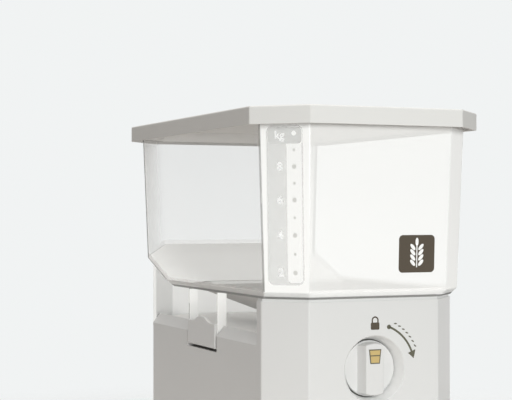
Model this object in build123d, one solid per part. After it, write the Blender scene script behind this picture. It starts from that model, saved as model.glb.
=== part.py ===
from build123d import *
import math
import os

# Rice storage bin. Millimetres, +Z up, origin on the floor under the middle of the lid.
# The front, with the dial and the tray, faces -Y.

# Lid
LID_WIDTH = 236.0
LID_DEPTH = 412.0
LID_CORNER = 41.0  # leg of the cut corners, as of every octagon here
LID_HEIGHT = 16.4
LID_TOP = 3.0  # thickness of the top plate
LID_WALL = 2.4
LID_EDGE_RADIUS = 1.6
LID_CORNER_RADIUS = 2.5
LID_FIELD_MARGIN = 15.0  # border round the sunk field of the top
LID_FIELD_DEPTH = 0.8
PLUG_DEPTH = 11.0  # rib that drops inside the hopper's mouth
PLUG_WALL = 2.0
PLUG_GAP = 0.6
GASKET_THICKNESS = 1.5
GASKET_WIDTH = 6.0

# Pack holder under the lid
HOLDER_WIDTH = 116.0
HOLDER_LENGTH = 60.0
HOLDER_HEIGHT = 15.2
HOLDER_WALL = 1.6
HOLDER_RADIUS = 8.0
HOLDER_FRONT_GAP = 5.0  # from the plug rib
SLIT_COUNT = 9
SLIT_WIDTH = 3.0
SLIT_MARGIN = 10.0

# Hopper
RIM_SETBACK = 11.2  # from the lid's outside to the hopper's wall at the rim
FLANGE_GAP = 1.0  # between the rim flange and the lid's skirt
FLANGE_THICKNESS = 3.0
HOPPER_HEIGHT = 155.8  # from the hopper's lowest edge to the lid's skirt
HOPPER_DRAFT = 2.2  # degrees
HOPPER_WALL = 2.2
HOPPER_CORNER_RADIUS = 3.0
BEVEL_HEIGHT = 6.3
BEVEL_ROUND = 2.0
BEVEL_FRONT = 7.0  # how far the front and corners draw in at the bevel
BEVEL_SIDE = 3.0
FLOOR_THICKNESS = 3.0
FLOOR_SLOPE = 20.5  # degrees, rear floor
FLOOR_BEND = 83.5  # where the rear floor starts to rise, behind the middle

# Hopper legs, which the side latches hold
LEG_SPACING = 77.0
LEG_THICKNESS = 1.8
LEG_DEPTH = 9.5
LEG_INSET = 1.5  # from the stand's side
LEG_LENGTH = 42.0
BAR_DEPTH = 5.0
BAR_GAP = 0.5  # between the bar and the latch's flap
BAR_HEIGHT = 4.0

# Scale panel on the front-left corner face
PANEL_WIDTH = 34.6
PANEL_TOP_GAP = 0.8  # below the lid's skirt
PANEL_HEIGHT = 142.0
PANEL_THICKNESS = 0.8
PANEL_RADIUS = 4.0

# Stand
STAND_HEIGHT = 200.0  # floor to the hopper's lowest edge
STAND_SIDE_SETBACK = 1.6  # from the hopper's lower edge, before its bevel
STAND_FRONT_SETBACK = 8.2
STAND_REAR_SETBACK = 9.5
STAND_CORNER = 32.4
STAND_WALL = 2.5
STAND_CORNER_RADIUS = 3.0
STAND_LIFT = 3.0  # floor to the lower edge of the walls
SILL_DROP = 43.0  # hopper's lowest edge to the outer edge of the side sill
SILL_RISE = 9.7
SILL_DEPTH = 7.5
SHADOW_HEIGHT = 2.5  # step round the front panel's top edge, under the hopper
SHADOW_DEPTH = 1.3
PANEL_WRAP = 10.0  # how far the front panel turns onto the sides
TAB_LENGTH = 14.0
TAB_THICKNESS = 2.4
TAB_HEIGHT = 90.0
PLATE_THICKNESS = 3.0
PLATE_GAP = 0.3
FOOT_HEIGHT = 5.0
FOOT_RADIUS = 9.0
FOOT_STUD_RADIUS = 2.5
FOOT_CHAMFER = 1.0
FOOT_INSET = 29.0

# Deck and tray tunnel
DECK_DROP = 37.0  # hopper's lowest edge to the deck's top
DECK_THICKNESS = 3.0
DECK_SIDE_GAP = 3.0  # from the sill's inner edge
DECK_REAR_GAP = 1.0
TUNNEL_GAP = 7.0
TUNNEL_WALL = 2.5
TUNNEL_REAR_MARGIN = 30.0

# Tray
TRAY_WIDTH = 114.0
TRAY_LENGTH = 252.0
TRAY_CLEAR = 6.0  # from the tray's rim up to the chute
TRAY_WALL = 2.0
TRAY_RADIUS = 6.0
TRAY_DOOR_GAP = 2.5  # beside and above the tray in the front panel's opening
TRAY_SILL_GAP = 1.2  # below it
TRAY_FRONT_LAP = 3.0  # front over the edge of the opening
TRAY_FRONT_THICKNESS = 3.0
TRAY_FRONT_RADIUS = 5.0
TRAY_FRONT_ROUND = 1.2
PULL_WIDTH = 64.0
PULL_REACH = 12.0
PULL_THICKNESS = 4.0
PULL_LIP = 7.0
PULL_ROUND = 1.3
PULL_DROP = 20.0  # below the top of the tray's front
RUNNER_HEIGHT = 3.0
RUNNER_WIDTH = 5.0
RUNNER_INSET = 4.0

# Dial
DIAL_DROP = 65.0  # hopper's lowest edge to the dial's axis
BOWL_DEPTH = 15.2
BOWL_MOUTH_RADIUS = 30.8
BOWL_ROUND = 1.2
BOWL_GAP = 1.0  # round the knob at the bowl's floor
KNOB_RADIUS = 25.6
KNOB_DISC = 4.0
KNOB_ROUND = 0.8
KNOB_BACK_GAP = 0.4
GRIP_WIDTH = 17.6
GRIP_FOOT = 25.0
GRIP_ROUND = 1.2
GRIP_END_SETBACK = 0.8

# Metering drum and its housing
SHAFT_RADIUS = 4.0
SHAFT_FLAT = 1.0  # depth of the flat that the knob holds
SHAFT_FIT = 0.05
SHAFT_TAIL = 7.0
SHAFT_COVER = 3.0  # knob left over the shaft's end
BUSH_WALL = 2.5
BUSH_FLANGE = 2.5
BUSH_FLANGE_STEP = 2.5
DRUM_RADIUS = 26.0
DRUM_WALL = 2.4
DRUM_LENGTH = 112.0
DRUM_HUB_WALL = 2.5
DRUM_GAP = 0.5
HOUSING_WALL = 2.5
HOUSING_PLATE = 3.0
INLET_HALF = 18.0
INLET_MARGIN = 4.0
NECK_RISE = 2.0
CHUTE_DROP = 10.0
HOUSING_FLANGE_SIDE = 12.0
DECK_HOLE_GAP = 1.5
CLIP_THICKNESS = 1.2
CLIP_STEP = 2.5
CLIP_GROOVE = 0.8
SEAL_THICKNESS = 2.0

# Funnel
FUNNEL_WALL = 2.0
FUNNEL_LEDGE = 13.0  # floor left round the funnel's opening
OUTLET_CORNER = 4.0
FUNNEL_FLANGE = 5.0
FUNNEL_FLANGE_THICKNESS = 2.0
FUNNEL_FIT = 0.4

# Side latches
LATCH_WIDTH = 74.0
LATCH_THICKNESS = 3.0
LATCH_PROUD = 1.0
LATCH_HEIGHT = 24.3
LATCH_FOOT_DROP = 55.5  # hopper's lowest edge to the flap's lower edge
LATCH_ROUND = 0.8
HUMP_WIDTH = 42.0  # finger hump, at its foot
HUMP_TOP = 15.0
HUMP_HEIGHT = 5.0
HUMP_RADIUS = 13.0
HOOK_WIDTH = 60.0
HOOK_THICKNESS = 3.0
HOOK_GAP = 0.5
HOOK_OVER = 3.5
NOTCH_GAP = 1.0
NOTCH_FOOT = 3.0
PIN_RADIUS = 1.5
PIN_FIT = 0.05
PIN_RISE = 2.5  # axis above the flap's lower edge
PIN_SETBACK = 3.5  # axis behind the stand's side
PIN_END = 5.0
KNUCKLE_WALL = 1.5
EAR_WIDTH = 6.0
EAR_RISE = 5.0
EAR_DEPTH = 7.0

# Screws
SCREW_RADIUS = 1.6
SCREW_FIT = 0.05
SCREW_HEAD_RADIUS = 3.2
SCREW_HEAD = 2.0
SCREW_LENGTH = 12.0
CROSS_LENGTH = 3.8
CROSS_WIDTH = 1.0
CROSS_DEPTH = 1.2
BOSS_RADIUS = 5.0
BOSS_HEIGHT = 18.0
BOSS_INSET = 4.5  # boss axis from the inside of the wall
BOSS_END = 28.0  # boss axis from the ends of the side wall
FLANGE_SCREW_LENGTH = 7.0
FLANGE_SCREW_INSET = 6.0
CAP_SCREW_LENGTH = 8.0
CAP_EAR_RADIUS = 4.5
CAP_SCREW_ANGLES = (-150.0, -30.0, 10.0, 170.0)  # degrees round the axis, from the right

ROOT2 = math.sqrt(2.0)


class Octagon:
    """A rectangle with four cut corners: half its width, its front, its rear and the corner's leg."""

    def __init__(self, half, front, rear, corner):
        self.half = half
        self.front = front
        self.rear = rear
        self.corner = corner

    def inset(self, side, front=None, rear=None):
        """Draws the sides in, with the corner faces moving in as far as the front does."""
        front = side if front is None else front
        rear = side if rear is None else rear
        corner = self.corner + front * ROOT2 - side - front
        return Octagon(self.half - side, self.front + front, self.rear - rear, corner)

    def points(self):
        x, c = self.half, self.corner
        low, high = self.front, self.rear
        return [
            (-x + c, low),
            (x - c, low),
            (x, low + c),
            (x, high - c),
            (x - c, high),
            (-x + c, high),
            (-x, high - c),
            (-x, low + c),
        ]

    def prism(self, low, high):
        return frustum(self.points(), low, self.points(), high)


def frustum(low_points, low, high_points, high):
    """A solid with plane sides between two outlines of the same number of points."""
    bottom = [(x, y, low) for x, y in low_points]
    top = [(x, y, high) for x, y in high_points]
    count = len(bottom)
    rings = [bottom[::-1], top]
    for i in range(count):
        j = (i + 1) % count
        rings.append([bottom[i], bottom[j], top[j], top[i]])
    faces = [Face(Wire.make_polygon(ring, close=True)) for ring in rings]
    return Part() + Solid(Shell(faces))


def rounded_level(outline, z, radius):
    """An outline as a face at a level, with its corners rounded."""
    face = make_face(Polyline(*outline.points(), close=True))
    return Pos(0, 0, z) * fillet(face.vertices(), radius)


def block(x, y, z):
    """A box between the low and high value on each axis."""
    place = Pos((x[0] + x[1]) / 2, (y[0] + y[1]) / 2, (z[0] + z[1]) / 2)
    return place * Box(x[1] - x[0], y[1] - y[0], z[1] - z[0])


def rod(radius, front, rear, x=0.0, z=0.0):
    """A cylinder along Y."""
    return Pos(x, (front + rear) / 2, z) * Rot(90, 0, 0) * Cylinder(radius, rear - front)


def cone(front_radius, rear_radius, front, rear, z):
    """A cone along Y."""
    return Pos(0, (front + rear) / 2, z) * Rot(90, 0, 0) * Cone(rear_radius, front_radius, rear - front)


def post(radius, x, y, low, high):
    """A cylinder along Z."""
    return Pos(x, y, (low + high) / 2) * Cylinder(radius, high - low)


def upright_edges(shape):
    """The edges that run up a drafted wall, rather than along it."""
    return [e for e in shape.edges() if abs((e @ 1 - e @ 0).Z) > e.length / 2]


def mirrored(shape):
    return mirror(shape, about=Plane.YZ)


# Levels
LID_Z = STAND_HEIGHT + HOPPER_HEIGHT + LID_HEIGHT
SKIRT_Z = LID_Z - LID_HEIGHT
CEILING_Z = LID_Z - LID_TOP
RIM_Z = CEILING_Z - GASKET_THICKNESS
EDGE_Z = STAND_HEIGHT + BEVEL_HEIGHT
SILL_Z = STAND_HEIGHT - SILL_DROP
DECK_Z = STAND_HEIGHT - DECK_DROP
DIAL_Z = STAND_HEIGHT - DIAL_DROP
PLATE_Z = FOOT_HEIGHT
FLOOR_Z = PLATE_Z + PLATE_THICKNESS
TRAY_Z = FLOOR_Z + RUNNER_HEIGHT

# Outlines
DRAFT = math.tan(math.radians(HOPPER_DRAFT))
SLOPE = math.tan(math.radians(FLOOR_SLOPE))
LID = Octagon(LID_WIDTH / 2, -LID_DEPTH / 2, LID_DEPTH / 2, LID_CORNER)
RIM = LID.inset(RIM_SETBACK)


def hopper_outline(z):
    """The hopper's outside at a level of its drafted walls."""
    return RIM.inset((RIM_Z - z) * DRAFT)


EDGE = hopper_outline(EDGE_Z)
TOE = EDGE.inset(BEVEL_SIDE, BEVEL_FRONT, BEVEL_FRONT)
STAND = Octagon(
    EDGE.half - STAND_SIDE_SETBACK,
    EDGE.front + STAND_FRONT_SETBACK,
    EDGE.rear - STAND_REAR_SETBACK,
    STAND_CORNER,
)
SPLIT_Y = STAND.front + STAND.corner + PANEL_WRAP
LATCH_FOOT_Z = STAND_HEIGHT - LATCH_FOOT_DROP
NOTCH_Z = LATCH_FOOT_Z - NOTCH_FOOT
NOTCH_HALF = (LEG_SPACING + LEG_THICKNESS) / 2 + NOTCH_GAP
PIN_X = STAND.half - PIN_SETBACK
PIN_Z = LATCH_FOOT_Z + PIN_RISE
FLAP_INNER = STAND.half + LATCH_PROUD - LATCH_THICKNESS
BAR_OUTER = FLAP_INNER - BAR_GAP
BAR_TOP_Z = STAND_HEIGHT - LEG_LENGTH + BAR_HEIGHT

# Stations along the dial's axis, from the front
BOWL_Y = STAND.front + BOWL_DEPTH
BOWL_BACK_Y = BOWL_Y + STAND_WALL
HOUSING_Y = BOWL_BACK_Y + BUSH_FLANGE
DRUM_Y = HOUSING_Y + HOUSING_PLATE + DRUM_GAP
DRUM_END_Y = DRUM_Y + DRUM_LENGTH
CAP_Y = DRUM_END_Y + DRUM_GAP
CAP_END_Y = CAP_Y + HOUSING_PLATE
KNOB_BACK_Y = BOWL_Y - KNOB_BACK_GAP
KNOB_FACE_Y = KNOB_BACK_Y - KNOB_DISC
SHAFT_FRONT_Y = STAND.front + SHAFT_COVER
SHAFT_END_Y = CAP_END_Y + BUSH_FLANGE + SHAFT_TAIL
CLIP_Y = CAP_END_Y + BUSH_FLANGE + SHAFT_FIT
INLET_FRONT_Y = DRUM_Y + INLET_MARGIN
INLET_REAR_Y = DRUM_END_Y - INLET_MARGIN
HOUSING_RADIUS = DRUM_RADIUS + DRUM_GAP + HOUSING_WALL
NECK_Z = DIAL_Z + HOUSING_RADIUS + NECK_RISE
OUTLET_Z = NECK_Z + SEAL_THICKNESS
CHUTE_Z = DIAL_Z - HOUSING_RADIUS - CHUTE_DROP
TRAY_TOP_Z = CHUTE_Z - TRAY_CLEAR
NECK_HALF = INLET_HALF + HOUSING_WALL
NECK_FRONT_Y = INLET_FRONT_Y - HOUSING_WALL
NECK_REAR_Y = INLET_REAR_Y + HOUSING_WALL
BUSH_RADIUS = SHAFT_RADIUS + SHAFT_FIT + BUSH_WALL
FLANGE_HALF = HOUSING_RADIUS + HOUSING_FLANGE_SIDE
DECK_HALF = STAND.half - SILL_DEPTH - STAND_WALL - DECK_SIDE_GAP
DECK_FRONT_Y = HOUSING_Y
DECK_REAR_Y = STAND.rear - STAND_WALL - DECK_REAR_GAP
FRONT_SCREW_Y = HOUSING_Y + FLANGE_SCREW_INSET
REAR_SCREW_Y = CAP_Y - FLANGE_SCREW_INSET
SIDE_SCREW_X = FLANGE_HALF - FLANGE_SCREW_INSET
BOSS_X = STAND.half - STAND_WALL - BOSS_INSET
TUNNEL_HALF = TRAY_WIDTH / 2 + TUNNEL_GAP


def below_floor(lift):
    """Everything under the rear floor's plane, moved up by lift along Z."""
    far = LID_DEPTH
    start = STAND_HEIGHT + lift
    points = [
        (FLOOR_BEND, start),
        (FLOOR_BEND + far, start + far * SLOPE),
        (FLOOR_BEND + far, start - far),
        (FLOOR_BEND, start - far),
    ]
    side = Plane.YZ * make_face(Polyline(*points, close=True))
    return extrude(side, LID_WIDTH, both=True)


def lid_shell():
    """Cap with a skirt, a sunk field on top and a rib that centres it in the hopper's mouth."""
    outside = LID.prism(SKIRT_Z, LID_Z)
    outside = fillet(upright_edges(outside), LID_CORNER_RADIUS)
    outside = fillet(outside.edges().group_by(Axis.Z)[-1], LID_EDGE_RADIUS)
    field = LID.inset(LID_FIELD_MARGIN).prism(LID_Z - LID_FIELD_DEPTH, LID_Z)
    shell = outside - field - LID.inset(LID_WALL).prism(SKIRT_Z, CEILING_Z)
    foot = CEILING_Z - PLUG_DEPTH
    plug = hopper_outline(foot).inset(HOPPER_WALL + PLUG_GAP)
    return shell + plug.prism(foot, CEILING_Z) - plug.inset(PLUG_WALL).prism(foot, CEILING_Z)


def lid_gasket():
    """Flat silicone ring between the lid and the rim flange."""
    outer = LID.inset(LID_WALL + FLANGE_GAP)
    return outer.prism(RIM_Z, CEILING_Z) - outer.inset(GASKET_WIDTH).prism(RIM_Z, CEILING_Z)


def pack_holder():
    """Slotted box that hangs from the lid and keeps a drying pack over the rice."""
    foot = CEILING_Z - PLUG_DEPTH
    plug = hopper_outline(foot).inset(HOPPER_WALL + PLUG_GAP + PLUG_WALL)
    front = plug.front + HOLDER_FRONT_GAP
    rear = front + HOLDER_LENGTH
    half = HOLDER_WIDTH / 2
    low = CEILING_Z - HOLDER_HEIGHT
    box = block((-half, half), (front, rear), (low, CEILING_Z))
    box = fillet(box.edges().filter_by(Axis.Z), HOLDER_RADIUS)
    hollow = block(
        (-half + HOLDER_WALL, half - HOLDER_WALL),
        (front + HOLDER_WALL, rear - HOLDER_WALL),
        (low + HOLDER_WALL, CEILING_Z),
    )
    box -= fillet(hollow.edges().filter_by(Axis.Z), HOLDER_RADIUS - HOLDER_WALL)
    pitch = (HOLDER_WIDTH - 2 * SLIT_MARGIN) / SLIT_COUNT
    for i in range(SLIT_COUNT):
        x = -half + SLIT_MARGIN + (i + 0.5) * pitch
        across = (x - SLIT_WIDTH / 2, x + SLIT_WIDTH / 2)
        box -= block(across, (front + SLIT_MARGIN, rear - SLIT_MARGIN), (low, low + HOLDER_WALL))
    return box


def hopper():
    """Clear moulding: drafted walls, rim flange, bevelled edge, sloped rear floor and two pairs of legs."""
    toe = rounded_level(TOE, STAND_HEIGHT, HOPPER_CORNER_RADIUS)
    edge = rounded_level(EDGE, EDGE_Z, HOPPER_CORNER_RADIUS)
    rim = rounded_level(RIM, RIM_Z, HOPPER_CORNER_RADIUS)
    outside = loft([toe, edge], ruled=True) + loft([edge, rim], ruled=True)
    bend = outside.edges().filter_by_position(Axis.Z, EDGE_Z - BEVEL_ROUND / 2, EDGE_Z + BEVEL_ROUND / 2)
    outside = fillet(bend, BEVEL_ROUND)
    inner_z = EDGE_Z + HOPPER_WALL
    floor_z = STAND_HEIGHT + FLOOR_THICKNESS
    inner_edge = hopper_outline(inner_z).inset(HOPPER_WALL)
    inner_toe = inner_edge.inset(BEVEL_SIDE, BEVEL_FRONT, BEVEL_FRONT)
    hollow = frustum(inner_edge.points(), inner_z, RIM.inset(HOPPER_WALL).points(), RIM_Z)
    hollow += frustum(inner_toe.points(), floor_z, inner_edge.points(), inner_z)
    body = (outside - below_floor(0.0)) - (hollow - below_floor(FLOOR_THICKNESS))
    flange_z = RIM_Z - FLANGE_THICKNESS
    flange = LID.inset(LID_WALL + FLANGE_GAP).prism(flange_z, RIM_Z)
    flange -= hopper_outline(flange_z).inset(HOPPER_WALL).prism(flange_z, RIM_Z)
    body = body + flange - funnel_mouth().prism(STAND_HEIGHT, floor_z)
    legs = hopper_legs()
    return body + legs + mirrored(legs)


def hopper_legs():
    """Two flat legs with a bar between their feet, on the right side."""
    outer = STAND.half - LEG_INSET
    inner = outer - LEG_DEPTH
    foot = STAND_HEIGHT - LEG_LENGTH
    legs = Part()
    for side in (-1, 1):
        y = side * LEG_SPACING / 2
        run = (y - LEG_THICKNESS / 2, y + LEG_THICKNESS / 2)
        legs += block((inner, outer), run, (foot, STAND_HEIGHT + FLOOR_THICKNESS / 2))
    bar_x = (BAR_OUTER - BAR_DEPTH, BAR_OUTER)
    return legs + block(bar_x, (-LEG_SPACING / 2, LEG_SPACING / 2), (foot, BAR_TOP_Z))


def scale_panel():
    """Printed plate on the front-left corner face."""
    top = SKIRT_Z - PANEL_TOP_GAP
    middle = top - PANEL_HEIGHT / 2 * math.cos(math.radians(HOPPER_DRAFT))
    face = hopper_outline(middle)
    lean = math.radians(HOPPER_DRAFT)
    seat = Plane(
        origin=(-face.half + face.corner / 2, face.front + face.corner / 2, middle),
        x_dir=(1, -1, 0),
        z_dir=(-math.cos(lean) / ROOT2, -math.cos(lean) / ROOT2, -math.sin(lean)),
    )
    return extrude(seat * RectangleRounded(PANEL_WIDTH, PANEL_HEIGHT, PANEL_RADIUS), PANEL_THICKNESS)


def funnel_mouth():
    """The opening in the hopper's floor."""
    mouth = TOE.inset(FUNNEL_LEDGE)
    return Octagon(mouth.half, mouth.front, FLOOR_BEND - FUNNEL_LEDGE, mouth.corner)


def outlet_outline(half, front, rear):
    return Octagon(half, front, rear, OUTLET_CORNER).points()


def outlet_funnel():
    """Funnel that drops through the hopper's floor and ends over the drum."""
    floor_z = STAND_HEIGHT + FLOOR_THICKNESS
    top_z = floor_z + FUNNEL_FLANGE_THICKNESS
    inner_z = STAND_HEIGHT + FUNNEL_WALL
    mouth = funnel_mouth()
    neck = mouth.inset(FUNNEL_FIT)
    throat = neck.inset(FUNNEL_WALL)
    body = mouth.inset(-FUNNEL_FLANGE).prism(floor_z, top_z) + neck.prism(STAND_HEIGHT, floor_z)
    outlet = outlet_outline(NECK_HALF, NECK_FRONT_Y, NECK_REAR_Y)
    body += frustum(outlet, OUTLET_Z, neck.points(), STAND_HEIGHT)
    hole = outlet_outline(INLET_HALF, INLET_FRONT_Y, INLET_REAR_Y)
    return body - throat.prism(inner_z, top_z) - frustum(hole, OUTLET_Z, throat.points(), inner_z)


def outlet_seal():
    """Soft ring between the funnel's outlet and the drum housing."""
    outer = outlet_outline(NECK_HALF, NECK_FRONT_Y, NECK_REAR_Y)
    inner = outlet_outline(INLET_HALF, INLET_FRONT_Y, INLET_REAR_Y)
    return frustum(outer, NECK_Z, outer, OUTLET_Z) - frustum(inner, NECK_Z, inner, OUTLET_Z)


def flange_screw_places():
    return [(x, y) for x in (-SIDE_SCREW_X, SIDE_SCREW_X) for y in (FRONT_SCREW_Y, REAR_SCREW_Y)]


def cap_screw_places():
    """X and Z of the four screws round the housing's rear cap."""
    reach = HOUSING_RADIUS + CAP_EAR_RADIUS / 2
    angles = [math.radians(a) for a in CAP_SCREW_ANGLES]
    return [(reach * math.cos(a), DIAL_Z + reach * math.sin(a)) for a in angles]


def drum_housing():
    """Barrel with a neck above, a chute below, a flange on the deck and a front plate."""
    barrel = rod(HOUSING_RADIUS, HOUSING_Y, CAP_Y, z=DIAL_Z)
    for x, z in cap_screw_places():
        barrel += rod(CAP_EAR_RADIUS, CAP_Y - CAP_SCREW_LENGTH, CAP_Y, x, z)
    barrel += block((-NECK_HALF, NECK_HALF), (NECK_FRONT_Y, NECK_REAR_Y), (CHUTE_Z, NECK_Z))
    barrel += block((-FLANGE_HALF, FLANGE_HALF), (HOUSING_Y, CAP_Y), (DECK_Z, NECK_Z))
    barrel -= rod(DRUM_RADIUS + DRUM_GAP, HOUSING_Y + HOUSING_PLATE, CAP_Y, z=DIAL_Z)
    run = (INLET_FRONT_Y, INLET_REAR_Y)
    barrel -= block((-INLET_HALF, INLET_HALF), run, (CHUTE_Z, NECK_Z))
    barrel -= rod(BUSH_RADIUS, HOUSING_Y, HOUSING_Y + HOUSING_PLATE, z=DIAL_Z)
    for x, y in flange_screw_places():
        barrel -= post(SCREW_RADIUS + SCREW_FIT, x, y, DECK_Z, NECK_Z)
    for x, z in cap_screw_places():
        barrel -= rod(SCREW_RADIUS + SCREW_FIT, CAP_END_Y - CAP_SCREW_LENGTH, CAP_Y, x, z)
    return barrel


def housing_cap():
    """Plate that closes the rear of the housing and carries the rear bush."""
    cap = rod(HOUSING_RADIUS, CAP_Y, CAP_END_Y, z=DIAL_Z)
    for x, z in cap_screw_places():
        cap += rod(CAP_EAR_RADIUS, CAP_Y, CAP_END_Y, x, z)
        cap -= rod(SCREW_RADIUS + SCREW_FIT, CAP_Y, CAP_END_Y, x, z)
    return cap - rod(BUSH_RADIUS, CAP_Y, CAP_END_Y, z=DIAL_Z)


def metering_drum():
    """Hollow drum with one open side, which faces up at rest and tips its load at half a turn."""
    drum = rod(DRUM_RADIUS, DRUM_Y, DRUM_END_Y, z=DIAL_Z)
    pocket = rod(DRUM_RADIUS - DRUM_WALL, DRUM_Y + DRUM_WALL, DRUM_END_Y - DRUM_WALL, z=DIAL_Z)
    hub_radius = SHAFT_RADIUS + SHAFT_FIT + DRUM_HUB_WALL
    pocket -= rod(hub_radius, DRUM_Y, DRUM_END_Y, z=DIAL_Z)
    drum -= pocket
    mouth_run = (INLET_FRONT_Y, INLET_REAR_Y)
    drum -= block((-INLET_HALF, INLET_HALF), mouth_run, (DIAL_Z + hub_radius, DIAL_Z + DRUM_RADIUS))
    return drum - rod(SHAFT_RADIUS + SHAFT_FIT, DRUM_Y, DRUM_END_Y, z=DIAL_Z)


def shaft_section(radius, flat, front, rear):
    """A round bar with one flat on its upper side."""
    bar = rod(radius, front, rear, z=DIAL_Z)
    return bar - block((-radius, radius), (front, rear), (DIAL_Z + radius - flat, DIAL_Z + radius))


def drive_shaft():
    """Steel shaft with a flat at the knob and a groove for the clip."""
    shaft = rod(SHAFT_RADIUS, KNOB_BACK_Y, SHAFT_END_Y, z=DIAL_Z)
    shaft += shaft_section(SHAFT_RADIUS, SHAFT_FLAT, SHAFT_FRONT_Y, KNOB_BACK_Y)
    groove = rod(SHAFT_RADIUS, CLIP_Y, CLIP_Y + CLIP_THICKNESS, z=DIAL_Z)
    groove -= rod(SHAFT_RADIUS - CLIP_GROOVE, CLIP_Y, CLIP_Y + CLIP_THICKNESS, z=DIAL_Z)
    return shaft - groove


def shaft_clip():
    """Open ring in the shaft's groove, behind the rear bush."""
    run = (CLIP_Y, CLIP_Y + CLIP_THICKNESS)
    inner = SHAFT_RADIUS - CLIP_GROOVE
    ring = rod(SHAFT_RADIUS + CLIP_STEP, *run, z=DIAL_Z) - rod(inner, *run, z=DIAL_Z)
    return ring - block((-inner, inner), run, (DIAL_Z - SHAFT_RADIUS - CLIP_STEP, DIAL_Z))


def front_bush():
    """Flanged sleeve between the dial's bowl and the housing's front plate."""
    bush = rod(BUSH_RADIUS, BOWL_Y, HOUSING_Y + HOUSING_PLATE, z=DIAL_Z)
    bush += rod(BUSH_RADIUS + BUSH_FLANGE_STEP, BOWL_BACK_Y, HOUSING_Y, z=DIAL_Z)
    return bush - rod(SHAFT_RADIUS + SHAFT_FIT, BOWL_Y, HOUSING_Y + HOUSING_PLATE, z=DIAL_Z)


def rear_bush():
    """Flanged sleeve in the housing's rear cap."""
    bush = rod(BUSH_RADIUS, CAP_Y, CAP_END_Y, z=DIAL_Z)
    bush += rod(BUSH_RADIUS + BUSH_FLANGE_STEP, CAP_END_Y, CAP_END_Y + BUSH_FLANGE, z=DIAL_Z)
    return bush - rod(SHAFT_RADIUS + SHAFT_FIT, CAP_Y, CAP_END_Y + BUSH_FLANGE, z=DIAL_Z)


def dial_knob():
    """Disc with a grip bar across it, whose face is level with the front panel."""
    disc = rod(KNOB_RADIUS, KNOB_FACE_Y, KNOB_BACK_Y, z=DIAL_Z)
    disc = fillet(disc.edges().filter_by(GeomType.CIRCLE).sort_by(Axis.Y)[0], KNOB_ROUND)
    section = [
        (-GRIP_FOOT / 2, KNOB_FACE_Y),
        (GRIP_FOOT / 2, KNOB_FACE_Y),
        (GRIP_WIDTH / 2, STAND.front),
        (-GRIP_WIDTH / 2, STAND.front),
    ]
    low = DIAL_Z - KNOB_RADIUS
    grip = extrude(Pos(0, 0, low) * make_face(Polyline(*section, close=True)), 2 * KNOB_RADIUS)
    end = KNOB_RADIUS - GRIP_END_SETBACK
    grip &= cone(end - GRIP_ROUND, end, STAND.front, KNOB_FACE_Y, DIAL_Z)
    grip = fillet(grip.edges().group_by(Axis.Y)[0], GRIP_ROUND)
    fit = SHAFT_FIT
    bore = shaft_section(SHAFT_RADIUS + fit, SHAFT_FLAT, SHAFT_FRONT_Y - fit, KNOB_BACK_Y)
    return disc + grip - bore


def stand_walls(low, high):
    walls = fillet(upright_edges(STAND.prism(low, high)), STAND_CORNER_RADIUS)
    return walls - STAND.inset(STAND_WALL).prism(low, high)


def side_sill():
    """Bevelled upper edge of the right side, drawn in towards the deck."""
    x, t = STAND.half, STAND_WALL
    points = [
        (x, SILL_Z - t),
        (x, SILL_Z),
        (x - SILL_DEPTH, SILL_Z + SILL_RISE),
        (x - SILL_DEPTH - t, SILL_Z + SILL_RISE),
        (x - SILL_DEPTH - t, SILL_Z + SILL_RISE - t),
        (x - t, SILL_Z - t),
    ]
    outline = Plane.XZ * make_face(Polyline(*points, close=True))
    run = STAND.rear - STAND.corner - SPLIT_Y
    return Pos(0, STAND.rear - STAND.corner, 0) * extrude(outline, run)


def latch_notch():
    """Gap in the right side for the latch and the hopper's legs."""
    inner = STAND.half - LEG_INSET - LEG_DEPTH - NOTCH_GAP
    return block((inner, STAND.half), (-NOTCH_HALF, NOTCH_HALF), (NOTCH_Z, STAND_HEIGHT))


def latch_ears():
    """Two blocks beside the notch of the right side, for the latch's pin."""
    ears = Part()
    across = (STAND.half - EAR_DEPTH, STAND.half - STAND_WALL / 2)
    for side in (-1, 1):
        near, far = side * NOTCH_HALF, side * (NOTCH_HALF + EAR_WIDTH)
        ears += block(across, (min(near, far), max(near, far)), (NOTCH_Z, PIN_Z + EAR_RISE))
    return ears


def base_bosses():
    """Columns inside the side walls that take the bottom plate's screws."""
    bosses = Part()
    for x, y in boss_places():
        boss = post(BOSS_RADIUS, x, y, FLOOR_Z, FLOOR_Z + BOSS_HEIGHT)
        bosses += boss - post(SCREW_RADIUS + SCREW_FIT, x, y, FLOOR_Z, FLOOR_Z + SCREW_LENGTH)
    return bosses


def base_shell():
    """Sides and back of the stand, open above the sill, with an upstand that carries the hopper's rear."""
    high = STAND_HEIGHT + (STAND.rear - FLOOR_BEND) * SLOPE
    walls = stand_walls(STAND_LIFT, high)
    walls -= block((-LID_WIDTH, LID_WIDTH), (-LID_DEPTH, SPLIT_Y), (0, high))
    open_run = (SPLIT_Y, STAND.rear - STAND.corner)
    walls -= block((-LID_WIDTH, LID_WIDTH), open_run, (SILL_Z, high))
    walls &= below_floor(0.0) + block((-LID_WIDTH, LID_WIDTH), (-LID_DEPTH, LID_DEPTH), (0, STAND_HEIGHT))
    sill = side_sill() - latch_notch()
    ears = latch_ears()
    walls = walls - latch_notch() - mirrored(latch_notch())
    walls = walls + sill + mirrored(sill) + ears + mirrored(ears) + base_bosses()
    pin_hole = rod(PIN_RADIUS + PIN_FIT, -NOTCH_HALF - PIN_END, NOTCH_HALF + PIN_END, PIN_X, PIN_Z)
    return walls - pin_hole - mirrored(pin_hole)


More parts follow.
